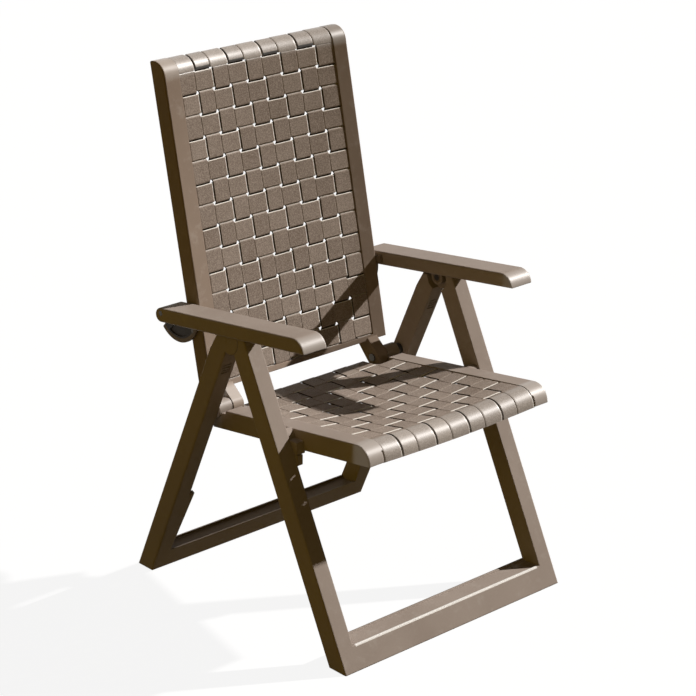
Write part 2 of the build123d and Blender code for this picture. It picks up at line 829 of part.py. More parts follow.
def armrest():
    solid = across(arm_view * arm_face(0, 0), arm_inner, arm_outer)
    rim = solid.faces().filter_by(Axis.X).edges()
    top_edges = [edge for edge in rim if arm_height(edge) > (arm_top + arm_bottom) / 2]
    solid = fillet(top_edges, arm_edge_radius)
    solid -= across(arm_view * arm_face(arm_wall, cut_over), arm_inner + arm_wall, arm_outer - arm_wall)
    lug = span(-arm_lug_half, arm_lug_half, 0, arm_top - arm_wall) + Circle(arm_lug_half)
    solid += across(arm_view * lug, leg_inner + 2 * side_gap, lug_side - side_gap)
    solid -= across(knuckle * Circle(bush_radius + running_gap), leg_inner - cut_over, lug_side + cut_over)
    return solid - across(latch * Circle(latch_pin_radius), arm_inner - cut_over, arm_outer + cut_over)


def arm_height(edge):
    """Height of an edge's middle above the knuckle, square to the armrest."""
    middle = edge.center()
    tilt = math.radians(arm_tilt)
    return (middle.Y - knuckle_y) * math.sin(tilt) + (middle.Z - knuckle_z) * math.cos(tilt)


def latch_pin():
    return across(latch * Circle(latch_pin_radius), sector_inner, arm_outer + latch_pin_proud)


def save(node, shape):
    export_step(shape, f"parts/{node}.step")


def save_pair(node, shape):
    save(f"{node}_left", shape)
    save(f"{node}_right", mirror(shape, about=Plane.YZ))


save("rear_frame", rear_frame())
save("front_frame", front_frame())
save("seat_frame", seat_frame())
save("back_frame", back_frame() - screw_bores())
save("seat_straps_long", Compound([seat_strap_long(number) for number in range(column_count)]))
save("seat_straps_across", Compound([seat_strap_across(number) for number in range(seat_row_count)]))
save("back_straps_up", Compound([back_strap_up(number) for number in range(column_count)]))
save("back_straps_across", Compound([back_strap_across(number) for number in range(back_row_count)]))
save("back_roll_wraps", Compound([back_roll_wrap(number) for number in range(1, column_count, 2)]))
save("seat_nose_wraps", Compound([seat_nose_wrap(number) for number in range(1, column_count, 2)]))
save("sector_screws", Compound([part for place in screw_places for part in both(sector_screw(place)).solids()]))
save_pair("knuckle_pin", knuckle_pin())
save_pair("armrest_bush", armrest_bush())
save_pair("seat_pivot_pin", seat_pivot_pin())
save_pair("back_hinge_pin", back_hinge_pin())
save_pair("latch_sector", latch_sector())
save_pair("armrest", armrest())
save_pair("latch_pin", latch_pin())
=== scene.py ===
import math
import bpy
import numpy as np
from mathutils import Matrix, Vector


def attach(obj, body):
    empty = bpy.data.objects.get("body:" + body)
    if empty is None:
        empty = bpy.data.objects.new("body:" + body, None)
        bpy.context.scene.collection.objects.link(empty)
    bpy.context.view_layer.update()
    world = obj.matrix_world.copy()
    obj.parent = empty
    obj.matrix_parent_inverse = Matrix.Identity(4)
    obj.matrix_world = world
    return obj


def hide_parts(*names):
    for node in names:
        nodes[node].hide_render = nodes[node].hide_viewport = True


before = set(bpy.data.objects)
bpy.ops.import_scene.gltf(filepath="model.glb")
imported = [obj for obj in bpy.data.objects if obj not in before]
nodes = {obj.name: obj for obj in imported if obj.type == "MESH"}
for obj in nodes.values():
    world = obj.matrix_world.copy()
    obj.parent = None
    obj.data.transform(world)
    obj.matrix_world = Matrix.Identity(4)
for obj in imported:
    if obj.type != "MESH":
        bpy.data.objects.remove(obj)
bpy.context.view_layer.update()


# Camera
# The view is from the chair's right front corner and from above, through a long lens.
# Azimuth, elevation, roll, distance and lens come from the edges of the legs, seat and back.
azimuth, elevation, roll = math.radians(-42.7412), math.radians(21.2270), math.radians(0.6176)
aim = Vector((0, 0, 0.5))
aim_left, aim_down, distance = 0.002766, 0.010697, 4.589853
right = Vector((math.cos(azimuth), math.sin(azimuth), 0))
behind = Vector((math.sin(azimuth) * math.cos(elevation),
                 -math.cos(azimuth) * math.cos(elevation), math.sin(elevation)))
above = behind.cross(right)
level_right = math.cos(roll) * right + math.sin(roll) * above
level_above = math.cos(roll) * above - math.sin(roll) * right
lens = bpy.data.cameras.new("camera")
lens.lens = 121.85
lens.sensor_width = 36.0
lens.clip_end = 60.0
camera = bpy.data.objects.new("camera", lens)
place = aim - aim_left * level_right - aim_down * level_above + distance * behind
turn = Matrix((level_right, level_above, behind)).transposed()
camera.matrix_world = Matrix.Translation(place) @ turn.to_4x4()
bpy.context.scene.collection.objects.link(camera)
bpy.context.scene.camera = camera
bpy.context.scene.view_settings.view_transform = "Standard"


# Light
# One sun, low on the chair's left and a little ahead of it, in the plane of the rear frame, as the
# shadows of the armrests and of the rear leg show. The surround fills the shade a little.
def sun(name, from_side, lift, strength, spread, colour):
    """Sun lamp that shines from a bearing off +X towards -Y and from a height, all in degrees."""
    lamp = bpy.data.lights.new(name, "SUN")
    lamp.energy = strength
    lamp.angle = math.radians(spread)
    lamp.color = colour
    shining = bpy.data.objects.new(name, lamp)
    bearing, height = math.radians(-from_side), math.radians(lift)
    source = Vector((math.cos(height) * math.cos(bearing),
                     math.cos(height) * math.sin(bearing), math.sin(height)))
    shining.rotation_euler = source.to_track_quat("Z", "Y").to_euler()
    shining.location = 3 * source
    bpy.context.scene.collection.objects.link(shining)


sun("key_light", from_side=16, lift=32, strength=6.1, spread=1.2, colour=(1.0, 0.97, 0.94))


# Floor and surround
# A plain white floor that keeps a faint shadow, and a white surround behind it.
# To the chair they are a dim warm ground, so that its shaded sides stay deep.
class Wire:
    """A socket of a material. A sum written with wires adds the Math nodes that work it out."""

    def __init__(self, socket):
        self.socket = socket

    def node(self, kind, settings=None, sockets=None, out=0):
        """Any other node, from its type, its settings and the values or links of its sockets."""
        made = self.socket.id_data.nodes.new(kind)
        for name, value in (settings or {}).items():
            setattr(made, name, value)
        for name, value in (sockets or {}).items():
            plug(made.inputs[name], value)
        return Wire(made.outputs[out])

    def math(self, operation, first, second=0.0):
        return self.node("ShaderNodeMath", {"operation": operation}, {0: first, 1: second})

    def __add__(self, other):
        return self.math("ADD", self, other)

    def __sub__(self, other):
        return self.math("SUBTRACT", self, other)

    def __mul__(self, other):
        return self.math("MULTIPLY", self, other)

    def __rsub__(self, other):
        return self.math("SUBTRACT", other, self)

    def __abs__(self):
        return self.math("ABSOLUTE", self)

    __radd__ = __add__
    __rmul__ = __mul__

    def root(self):
        return self.math("SQRT", self)

    def or_more(self, other):
        """The larger of this value and another."""
        return self.math("MAXIMUM", self, other)

    def between(self, low, high):
        """0 below one value, 1 above the other, and smooth between."""
        sockets = {"Value": self, "From Min": low, "From Max": high}
        return self.node("ShaderNodeMapRange", {"interpolation_type": "SMOOTHSTEP"}, sockets)

    def colour(self, low, high):
        """Colour that goes from one to the other with this value."""
        return self.node("ShaderNodeMix", {"data_type": "RGBA"}, {0: self, 6: low, 7: high}, out=2)

    def tint(self, factor, other):
        """This colour, mixed with another by a factor."""
        return self.node("ShaderNodeMix", {"data_type": "RGBA"}, {0: factor, 6: self, 7: other}, out=2)

    def axes(self):
        """The three coordinates of this place or direction, each as a value."""
        parts = self.node("ShaderNodeSeparateXYZ", None, {0: self}).socket.node
        return [Wire(part) for part in parts.outputs]

    def grain(self, scale, detail=2.0, rough=0.5):
        """Noise value, in features for each metre, on this place."""
        sockets = {"Vector": self, "Scale": scale, "Detail": detail, "Roughness": rough}
        return self.node("ShaderNodeTexNoise", None, sockets)

    def stretched(self, along, across, through):
        """This place with each direction scaled by itself."""
        scales = (along, across, through)
        return self.node("ShaderNodeVectorMath", {"operation": "MULTIPLY"}, {0: self, 1: scales})

    def relief(self, distance, under=None):
        """Bump of a height in metres for a value of one, laid over another normal where one is given."""
        sockets = {"Height": self, "Distance": distance, "Strength": 1.0}
        if under:
            sockets["Normal"] = under
        return self.node("ShaderNodeBump", None, sockets)


def plug(socket, value):
    """Links a wire to a socket, or sets the socket to a number or a colour."""
    if isinstance(value, Wire):
        socket.id_data.links.new(value.socket, socket)
    elif socket.type == "RGBA" and len(value) == 3:
        socket.default_value = (*value, 1)
    else:
        socket.default_value = value


def new_finish(name, **sockets):
    """Material with its constant sockets set, and the object place that its patterns read."""
    finish = bpy.data.materials.new(name)
    finish.use_nodes = True
    shader = finish.node_tree.nodes["Principled BSDF"]
    for socket, value in sockets.items():
        plug(shader.inputs[socket.replace("_", " ")], value)
    where = Wire(finish.node_tree.nodes.new("ShaderNodeTexCoord").outputs["Object"])
    return finish, shader, where


def seen(tree):
    """1 for the rays of the camera, of mirrors and of glass, 0 for the rays that only carry light."""
    rays = tree.nodes.new("ShaderNodeLightPath").outputs
    kinds = ("Camera", "Glossy", "Transmission")
    straight, mirrored, through = (Wire(rays[f"Is {kind} Ray"]) for kind in kinds)
    return straight.or_more(mirrored).or_more(through)


def seen_white(tree, shade, share):
    """Shader that seen rays find mostly plain white, and other rays find as it is."""
    base = Wire(shade)
    white = base.node("ShaderNodeEmission", None, {"Strength": 1.0})
    return base.node("ShaderNodeMixShader", None, {0: seen(tree) * share, 1: base, 2: white})


def build_floor():
    """Square floor, white where it is seen and a dim warm ground to the light. A tenth of what is seen
    is the floor's own paint, which keeps the shadow."""
    reach = 20
    white, ground_tone = (0.95, 0.95, 0.95), (0.088, 0.057, 0.007)
    floor = bpy.data.meshes.new("floor")
    corners = [(-reach, -reach, 0), (reach, -reach, 0), (reach, reach, 0), (-reach, reach, 0)]
    floor.from_pydata(corners, [], [(0, 1, 2, 3)])
    ground = bpy.data.objects.new("floor", floor)
    bpy.context.scene.collection.objects.link(ground)
    paint, shader, _ = new_finish("pale_floor", Roughness=0.9, Specular_IOR_Level=0.0)
    plug(shader.inputs["Base Color"], seen(paint.node_tree).colour(ground_tone, white))
    out = paint.node_tree.nodes["Material Output"]
    plug(out.inputs["Surface"], seen_white(paint.node_tree, shader.outputs[0], 0.9))
    floor.materials.append(paint)


def build_surround():
    """World that is plain white where it is seen. To the light it is dim, warmer and brighter towards
    the chair's right, as from sunlit ground there, and a soft grey overhead."""
    shaded_side, sunlit_side = (0.022, 0.014, 0.003), (0.33, 0.215, 0.014)
    overhead = (0.070, 0.064, 0.066)
    surround = bpy.data.worlds.new("surround")
    surround.use_nodes = True
    tree = surround.node_tree
    dim = tree.nodes["Background"]
    facing = Wire(tree.nodes.new("ShaderNodeTexCoord").outputs["Generated"])
    to_left, _, up = facing.axes()
    low = (0.5 - 0.5 * to_left).between(0.35, 1.0).colour(shaded_side, sunlit_side)
    plug(dim.inputs["Color"], low.tint(up.between(0.35, 0.95), overhead))
    plug(tree.nodes["World Output"].inputs["Surface"], seen_white(tree, dim.outputs[0], 1.0))
    bpy.context.scene.world = surround


build_floor()
build_surround()


# Leg frames
# Two U-shaped mouldings that scissor at the knuckles, the rear one with its slide tracks.
# Satin taupe plastic with a fine moulded grain and a little dust, and a painted highlight on the front lip.
moulded_dark = (0.222, 0.178, 0.148)
moulded_pale = (0.362, 0.306, 0.268)
dust_colour = (0.42, 0.38, 0.34)
painted_sheen_colour = (0.45, 0.45, 0.42)
painted_highlight_colour = (0.84, 0.82, 0.79)
edge_radius = 0.0026
lip_low, lip_high = 0.0390, 0.0490
lip_front = 0.2850
lip_half = 0.2475
lip_fade, lip_end_fade, lip_top_fade = 0.0012, 0.002, 0.001


def lip_highlight(where):
    """1 on the front edge of the front crossbar, between the legs, for a painted highlight; 0 elsewhere."""
    aside, along, height = where.axes()
    up = height.between(lip_low, lip_low + lip_fade)
    ahead = (0 - along).between(lip_front, lip_front + lip_fade)
    between_legs = (lip_half - abs(aside)).between(0.0, lip_end_fade)
    under_legs = (lip_high + lip_top_fade - height).between(0.0, lip_top_fade)
    return up * ahead * between_legs * under_legs


def taupe_plastic(name, polish=None, lean=None, pale_tint=None, painted_shade_scale=(1.0, 1.0, 1.0)):
    """Colour drifts in broad patches and fine specks, and the same specks raise the grain.

    Three functions of the place may be given. The first is 1 where the plastic is polished by use, and
    lays a satin coat there and a painted sheen, a pale tint in the base colour. The second is a height
    whose slope leans the light. The third is 1 where an edge gets a painted highlight. The colours can
    be scaled down, blue the most, as painted shade.
    """
    # Painted shade: the scale darkens a copy of the plastic.
    dark, pale = (np.multiply(tone, painted_shade_scale).tolist() for tone in (moulded_dark, moulded_pale))
    finish, shader, where = new_finish(name, IOR=1.48, Specular_IOR_Level=0.03, Coat_Roughness=0.42)
    broad = where.grain(7.0, 3.0, 0.55)
    speck = where.grain(900.0, 2.0, 0.6)
    dust = where.grain(38.0, 4.0, 0.65).between(0.52, 0.72)
    body = (broad * 0.75 + speck * 0.35).colour(dark, pale).tint(dust * 0.22, dust_colour)
    if polish:
        coat_and_painted_sheen = polish(where)
        # Painted sheen: where it is polished, the base colour also goes pale, as a painted highlight.
        body = body.tint(coat_and_painted_sheen * 0.15, painted_sheen_colour)
        plug(shader.inputs["Coat Weight"], coat_and_painted_sheen * (1 - 0.3 * dust))
    if pale_tint:
        # Painted highlight: a near-white tint along an edge, here the front crossbar's lip.
        body = body.tint(pale_tint(where) * 0.9, painted_highlight_colour)
    plug(shader.inputs["Base Color"], body)
    plug(shader.inputs["Roughness"], 0.42 + 0.12 * broad + 0.12 * dust)
    soft = where.node("ShaderNodeBevel", {"samples": 4}, {"Radius": edge_radius})
    if lean:
        soft = lean(where).relief(1.0, soft)
    grain = speck + 0.6 * where.grain(260.0, 2.0)
    plug(shader.inputs["Normal"], grain.relief(0.00006, soft))
    return finish


def dress(finish, *names):
    """Gives CAD nodes their finish."""
    for name in names:
        for slot in nodes[name].material_slots:
            slot.material = finish


# The leg frames carry a painted highlight on the front crossbar's lip.
dress(taupe_plastic("taupe_plastic", pale_tint=lip_highlight), "rear_frame", "front_frame")


# Back surround
# One moulding: two side bands, a rolled top, a bottom rail and two hinge lugs, in the taupe plastic
# darkened and reddened as painted shade. The roll and the right hinge's knuckles are polished by hands:
# they have a satin coat and a painted sheen.
back_half = 0.233
roll_low, roll_fade = 1.004, 0.012
bands_dish, back_curl, curl_middle = 0.20, 0.17, 0.7
knuckle_polish = 0.8
knuckles_front, knuckles_side, knuckles_fade = 0.102, 0.168, 0.008
knuckles_top, knuckles_top_fade = 0.425, 0.01
side_skin, side_clear = 0.0025, 0.004


def on_roll(where):
    """1 on the top roll of the back, 0 below it."""
    height = where.axes()[2]
    return height.between(roll_low, roll_low + roll_fade)


def on_knuckles(where):
    """1 on the knuckles of the right hinge: behind the seat, under the back and outside the weave."""
    aside, along, height = where.axes()
    behind_seat = along.between(knuckles_front, knuckles_front + knuckles_fade)
    under_back = (knuckles_top - height).between(0.0, knuckles_top_fade)
    outside_weave = (0 - aside).between(knuckles_side, knuckles_side + knuckles_fade)
    return behind_seat * under_back * outside_weave


def off_sides(where, half):
    """0 on a piece's outer side faces, which stand half its width out, and 1 further in."""
    aside = where.axes()[0]
    return (half - abs(aside)).between(side_skin, side_clear)


def back_polish(where):
    """1 on the roll, less on the right hinge's knuckles, 0 elsewhere."""
    return on_roll(where).or_more(knuckle_polish * on_knuckles(where)) * off_sides(where, back_half)


def curled(where, dish=0.0):
    """Height whose slope leans the light on the side bands in, and on the top of the back down."""
    aside, _, height = where.axes()
    rise = height - curl_middle
    return dish * abs(aside) + back_curl * rise * rise


def back_lean(where):
    """The back's curl and the dish of its side bands."""
    return curled(where, bands_dish)


# The back's copy of the plastic is darkened and reddened as painted shade.
back_plastic = taupe_plastic("taupe_back", polish=back_polish, lean=back_lean, painted_shade_scale=(0.80, 0.74, 0.67))
dress(back_plastic, "back_frame")


# Straps of the back
# Moulded straps that pass over and under each other, nine up and fourteen across, in a hollow field.
# The second, fourth, sixth and eighth run on over the top roll, and the roll stands up between them.
# A strap is drawn in millimetres, q to the rear of the bands' face and r up along it, and the depths
# on the roll are how far behind that face a wrap, a cell's arc and a cell's points end.
columns = 9
middle = columns // 2
pitch_x = 43.8
strap_gap = 5.8
strap_half = (pitch_x - strap_gap) / 2
field_half = columns * pitch_x / 2
step = 2.0
mid_sink = 2.9
top_lift = 0.75
dive_run = 3.2
dive_steep, dive_lead = 3.4, 0.1
climb_steep, climb_lead = 9.0, 0.247
edge_drop, strap_thick, rim_thick = 1.2, 1.8, 0.3
upright_run, lying_run, lying_paint_run = 1.6, 2.2, 2.4
cell_drop, cell_thick, cell_run = 2.3, 3.2, 3.4
cell_left_half = 24.3
back_rise = 43.1
back_rows = 14
back_top = back_rows * back_rise
back_foot_y, back_foot_z, back_tilt = 141.8, 427.3, math.radians(12.3)
back_hollow_half, foot_hollow, top_hollow = 208.0, 4.5, 14.5
roll_radius = 31.0
wrap_sink = 0.9
wrap_depth, cell_depth, roll_depth = 36.7, 36.8, 36.95


def wave(cells):
    """Runs from 1 over an even cell to -1 under an odd one: a cosine made steep and cut at its ends.
    The part over a cell is a little longer than the part under one."""
    return np.sin(np.pi / 2 * np.clip(dive_steep * (np.cos(np.pi * (cells - 0.5)) + dive_lead), -1, 1))


def wave_across(cells):
    """The wave of a strap that lies across: it comes up late and sharply beside the strap it passed
    under, so that only a narrow gap shows there."""
    rising = np.sin(np.pi * (cells - 0.5)) < 0
    steep, lead = np.where(rising, climb_steep, dive_steep), np.where(rising, climb_lead, dive_lead)
    return np.sin(np.pi / 2 * np.clip(steep * (np.cos(np.pi * (cells - 0.5)) + lead), -1, 1))


def eased(run):
    """0 at the end of a run, then a quarter of a sine up to 1, a dive's run further on."""
    return np.sin(np.pi / 2 * np.clip(run / dive_run, 0, 1))


def stations(count):
    """Places along a strap, counted in cells, close together where it dives and wide on the flats."""
    climb = [0.0, 0.025, 0.05, 0.08, 0.12, 0.16]
    fall = [0.84, 0.885, 0.905, 0.925, 0.945, 0.957, 0.98]
    one = np.array([*climb, 0.5, *fall])
    return np.append((np.arange(count)[:, None] + one[None, :]).reshape(-1), count)


def bow(x, half):
    """1 in the middle and 0 at the edge of the hollow and past it, as a square law."""
    return np.clip(1 - (x / half) ** 2, 0, 1)


def back_place(x, q, r):
    """From the back's own view to metres: turned by the back's tilt about the foot of its face."""
    y = back_foot_y + q * math.cos(back_tilt) + r * math.sin(back_tilt)
    z = back_foot_z - q * math.sin(back_tilt) + r * math.cos(back_tilt)
    return np.stack([x + 0 * y, y, z], axis=-1) / 1000


def back_hollow(x, r):
    """Depth of the hollow, which grows evenly from the foot of the back to its top."""
    depth = foot_hollow + (top_hollow - foot_hollow) * np.clip(r / back_top, 0, 1)
    return depth * bow(x, back_hollow_half)


def section(half, drop, thick, run):
    """Closed outline of a strap cut across, as widths and heights.

    The top is flat, and over the last run it turns down by a quarter of an ellipse. The underside is
    flat, a thickness below the top.
    """
    turn = np.pi / 2 * np.array([0.0, 0.3, 0.55, 0.8, 1.0])
    width = np.concatenate([(half - run) * np.array([0.0, 0.5, 0.97]), half - run + run * np.sin(turn)])
    height = np.concatenate([[0.0, 0.0, 0.0], -drop * (1 - np.cos(turn))])
    width, height = np.concatenate([-width[:0:-1], width]), np.concatenate([height[:0:-1], height])
    under = np.minimum(-thick, height[::-1] - rim_thick)
    return np.concatenate([width, width[::-1]]), np.concatenate([height, under])


def edge_paint(width, half, run, low_edge, high_edge, dive):
    """Painted light of a strap's points: above 0 for a painted highlight where an edge or a dive faces the
    light, below 0 for painted shade where one faces away, 0 on the flats and underneath. Each edge has
    a value, and the dives have one for each ring."""
    reach = np.clip((np.abs(width) - (half - run)) / run, 0, 1)
    edge = reach * np.where(width > 0, high_edge, low_edge)
    both = np.where(np.abs(edge)[None, :] > np.abs(dive)[:, None], edge[None, :], dive[:, None])
    return np.where((np.arange(len(width)) < len(width) // 2)[None, :], both, edge[None, :])


def dive_paint(cells, over, rising, falling):
    """Painted light along a strap: one value where it climbs over, another where it goes under, and
    painted shade where it lies under another strap.
    """
    slope = np.gradient(over, cells)
    steep = np.clip(1.8 * (1 - over), 0, 1)
    under = np.where(over < -0.99, -0.4, 0)
    return np.where(slope > 0.2, rising * steep, np.where(slope < -0.2, falling * steep, 0)) + under


def square_to(across, up):
    """Direction square to a path, a quarter turn to its left, for each of its points."""
    flow_across, flow_up = np.gradient(across), np.gradient(up)
    size = np.hypot(flow_across, flow_up)
    return -flow_up / size, flow_across / size


def to_band(x, number):
    """Widens the first and last straps on their outer side until they meet the side bands."""
    if number not in (0, columns - 1):
        return x
    last = middle * pitch_x
    wide = (field_half - last) / strap_half
    return np.where(np.abs(x) > last, np.sign(x) * (last + (np.abs(x) - last) * wide), x)


def tube_faces(rings, around):
    """Quads between rings of points, with a many-sided face at each end."""
    ring, point = np.meshgrid(np.arange(rings - 1), np.arange(around), indexing="ij")
    after = (point + 1) % around
    quads = np.stack([ring * around + point, ring * around + after,
                      (ring + 1) * around + after, (ring + 1) * around + point], axis=-1)
    last = (rings - 1) * around
    return quads.reshape(-1, 4).tolist() + [list(range(around))[::-1], list(range(last, last + around))]


def outward(form, sides):
    """Turns the faces round if the form's signed volume is negative."""
    corner = form.reshape(-1, 3)
    quads = np.array([side for side in sides if len(side) == 4])
    a, b, c, d = (corner[quads[:, k]] for k in range(4))
    volume = np.einsum("ij,ij->i", a, np.cross(b, c)).sum() + np.einsum("ij,ij->i", a, np.cross(c, d)).sum()
    return sides if volume > 0 else [side[::-1] for side in sides]


def tube(form, shade, rim):
    """Rings of points as one closed form, with the tone and the painted light and shade of each point."""
    return form, outward(form, tube_faces(*form.shape[:2])), shade, rim


def add_piece(label, parts, body, finish, stands_for=()):
    """One object from several closed forms, each with its points, its faces and, for each point, the
    tone of its cell and its painted light and shade."""
    points, faces, shades, painted_edge_lists, count = [], [], [], [], 0
    for form, sides, shade, rim in parts:
        points.append(form.reshape(-1, 3))
        faces += [[count + index for index in side] for side in sides]
        shades.append(shade.reshape(-1))
        painted_edge_lists.append(rim.reshape(-1))
        count += len(points[-1])
    mesh = bpy.data.meshes.new(label)
    mesh.from_pydata(np.concatenate(points).tolist(), [], faces)
    for name, values in (("shade", shades), ("rim", painted_edge_lists)):
        values = np.concatenate(values).astype(np.float32)
        mesh.attributes.new(name, "FLOAT", "POINT").data.foreach_set("value", values)
    mesh.materials.append(finish)
    mesh.polygons.foreach_set("use_smooth", [True] * len(faces))
    mesh.set_sharp_from_angle(angle=math.radians(50))
    piece = bpy.data.objects.new(label, mesh)
    bpy.context.scene.collection.objects.link(piece)
    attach(piece, body)
    if stands_for:
        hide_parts(*stands_for)
    return piece


chance = np.random.default_rng(7)


def cell_shades(cells, width_points, low=0.0, high=1.0):
    """One chance value for each cell of a strap, the same at all points of the cell."""
    value = chance.uniform(low, high, int(cells.max()) + 3)
    return np.repeat(value[np.clip(cells.astype(int), 0, None)][:, None], width_points, axis=1)


def back_strap_up(number):
    """Path in the back's view: straight up the field with the wave, then for every second strap an
    arc over the roll. The section is carried along it square to the path, and the hollow is added."""
    x0 = (number - middle) * pitch_x
    wrapped = number % 2 == 1
    cells = stations(back_rows)
    r = cells * back_rise
    over = wave(cells + (back_rows + number + 1) % 2)
    over = np.where(cells > back_rows - 0.5, (-1 if wrapped else 1) * eased(back_top - r), over)
    q = mid_sink - step * over
    dive = dive_paint(cells, over, -1.0, 0.45)
    if wrapped:
        reach = roll_radius - wrap_sink
        depth = back_hollow(x0 - np.sign(x0) * strap_half, back_top)
        angle = np.linspace(0, math.acos((roll_radius - wrap_depth + depth) / reach), 30)[1:]
        climb = step * (1 - eased(angle * reach))
        q = np.concatenate([q, roll_radius - reach * np.cos(angle) + climb])
        r = np.concatenate([r, back_top + reach * np.sin(angle)])
        cells = np.concatenate([cells, back_rows + 0.5 + 0 * angle])
        # Painted shade on the first stretch of the wrap over the roll.
        dive = np.concatenate([dive, np.where(np.arange(len(angle)) < 3, -1.0, 0.0)])
    width, height = section(strap_half, edge_drop, strap_thick, upright_run)
    out_q, out_r = square_to(q, r)
    lift = height + top_lift
    x = to_band(x0 + width, number)[None, :] + 0 * q[:, None]
    r = r[:, None] + out_r[:, None] * lift[None, :]
    q = q[:, None] + out_q[:, None] * lift[None, :] + back_hollow(x, r)
    # Painted shade on left edges, climbs and under-parts; painted highlight on right edges and dives.
    rim = edge_paint(width, strap_half, upright_run, -1.0, 0.35, dive)
    return tube(back_place(x, q, r), cell_shades(cells, len(width), 0.0, 0.6), rim)


def lying_path(count, phase):
    """Cells, places across and wave of a strap that lies across a number of columns, level with the
    side bands at its ends."""
    cells = stations(count)
    x = (cells - count / 2) * pitch_x
    return cells, x, wave_across(cells + phase) * eased(np.minimum(x - x[0], x[-1] - x))


def back_strap_across(number):
    """The wave runs across the field at one height, and the section lies up and down."""
    cells, x, over = lying_path(columns, (back_rows + number) % 2)
    half = (back_rise - strap_gap) / 2
    width, height = section(half, edge_drop, strap_thick, lying_run)
    q = mid_sink - step * over[:, None] - (height + top_lift)[None, :]
    r = (number + 0.5) * back_rise + width[None, :] + 0 * q
    x = x[:, None] + 0 * q
    # Painted highlight on top edges and dives; painted shade on bottom edges, climbs and under-parts.
    rim = edge_paint(width, half, lying_paint_run, -0.5, 1.0, dive_paint(cells, over, -0.2, 1.0))
    return tube(back_place(x, q + back_hollow(x, r), r), cell_shades(cells, len(width)), rim)


def cell_section(number):
    """Section of a raised cell: its left edge stands close to the strap beside it, and its right edge
    slopes down. Gives the widths as drawn, the widths with the left edge moved out, and the heights."""
    width, height = section(pitch_x / 2, cell_drop, cell_thick, cell_run)
    left = width < 0
    moved = width * np.where(left & (number > 0), cell_left_half / (pitch_x / 2), 1.0)
    return width, moved, np.where(left & (height > -cell_thick), 0.4 * height, height)


def cell_edge_paint(width, path):
    """Painted light of a raised cell: a painted highlight along its right edge, which faces the light,
    and a little painted shade along its left one.
    """
    return edge_paint(width, pitch_x / 2, cell_run, -0.25, 1.0, 0 * path)


def roll_cell(number):
    """Raised stretch of the roll between two straps: an arc whose edges slope down to the roll."""
    x0 = (number - middle) * pitch_x
    depth = back_hollow(x0 - np.sign(x0) * pitch_x / 2, back_top)
    angle = np.linspace(-0.02, math.acos((roll_radius - cell_depth + depth) / roll_radius), 28)
    width, moved, height = cell_section(number)
    radius = roll_radius + height[None, :]
    x = x0 + moved[None, :] + 0 * angle[:, None]
    q = roll_radius - radius * np.cos(angle)[:, None] + back_hollow(x, back_top)
    r = back_top + radius * np.sin(angle)[:, None]
    form = back_place(x, np.minimum(q, roll_depth), r)
    return tube(form, cell_shades(0 * angle, len(width)), cell_edge_paint(width, angle))


def woven_plastic(name, polish, lean=None):
    """Each cell has its own tone, over a fine grain that glints: specks in colour, height and gloss.
    Painted highlights make the edges and dives that face the light pale, and painted shade darkens
    those that face away and the parts under other straps."""
    strap_dark, strap_pale = (0.165, 0.126, 0.099), (0.350, 0.292, 0.248)
    painted_shade_colour, pale_tint = (0.030, 0.022, 0.014), (0.80, 0.76, 0.70)
    finish, shader, where = new_finish(name, IOR=1.5, Specular_IOR_Level=0.05, Coat_Roughness=0.42)
    cell = where.node("ShaderNodeAttribute", {"attribute_name": "shade"}, out=2)
    rim = where.node("ShaderNodeAttribute", {"attribute_name": "rim"}, out=2)
    broad = where.grain(9.0, 3.0, 0.5)
    speck = where.grain(400.0, 3.0, 0.8).between(0.40, 0.66)
    tone = 0.30 * cell + 0.30 * broad + 0.75 * speck - 0.08
    coat_and_painted_sheen = polish(where)
    # Painted sheen: the polished roll and nose also go pale in the base colour, as a painted highlight.
    body = tone.colour(strap_dark, strap_pale).tint(coat_and_painted_sheen * 0.15, painted_sheen_colour)
    # Painted shade darkens the points below 0, and a painted highlight pales those above 0.
    body = body.tint((0 - rim).between(0.1, 0.9), painted_shade_colour).tint(rim.between(0.1, 0.9) * 0.9, pale_tint)
    plug(shader.inputs["Base Color"], body)
    plug(shader.inputs["Roughness"], 0.40 + 0.18 * speck)
    plug(shader.inputs["Coat Weight"], coat_and_painted_sheen)
    plug(shader.inputs["Normal"], speck.relief(0.0001, lean(where).relief(1.0) if lean else None))
    return finish


back_finish = woven_plastic("woven_back", on_roll, curled)
straps_up = [back_strap_up(number) for number in range(columns)]
add_piece("back_weave_up", straps_up, "backrest", back_finish, ["back_straps_up", "back_roll_wraps"])
straps_across = [back_strap_across(number) for number in range(back_rows)]
add_piece("back_weave_across", straps_across, "backrest", back_finish, ["back_straps_across"])
roll_cells = [roll_cell(number) for number in range(0, columns, 2)]
add_piece("back_roll_cells", roll_cells, "backrest", back_finish)


# Seat surround
# One moulding with side bands, a rolled front edge that falls as a skirt, and the hinge barrels behind.
# Taupe plastic like the legs', polished along the nose and on the right hinge's knuckles, where it gets
# a satin coat and a painted sheen.
seat_half = 0.2536
nose_start = 0.262
polish_fade = 0.014


def ahead_of(where, start):
    """1 ahead of a distance from the middle of the chair, 0 behind it."""
    along = where.axes()[1]
    return (0 - along).between(start, start + polish_fade)


def seat_polish(where):
    """1 on the nose, less on the right hinge's knuckles, 0 elsewhere."""
    nose = ahead_of(where, nose_start)
    return nose.or_more(knuckle_polish * on_knuckles(where)) * off_sides(where, seat_half)


dress(taupe_plastic("taupe_seat", polish=seat_polish), "seat_frame")


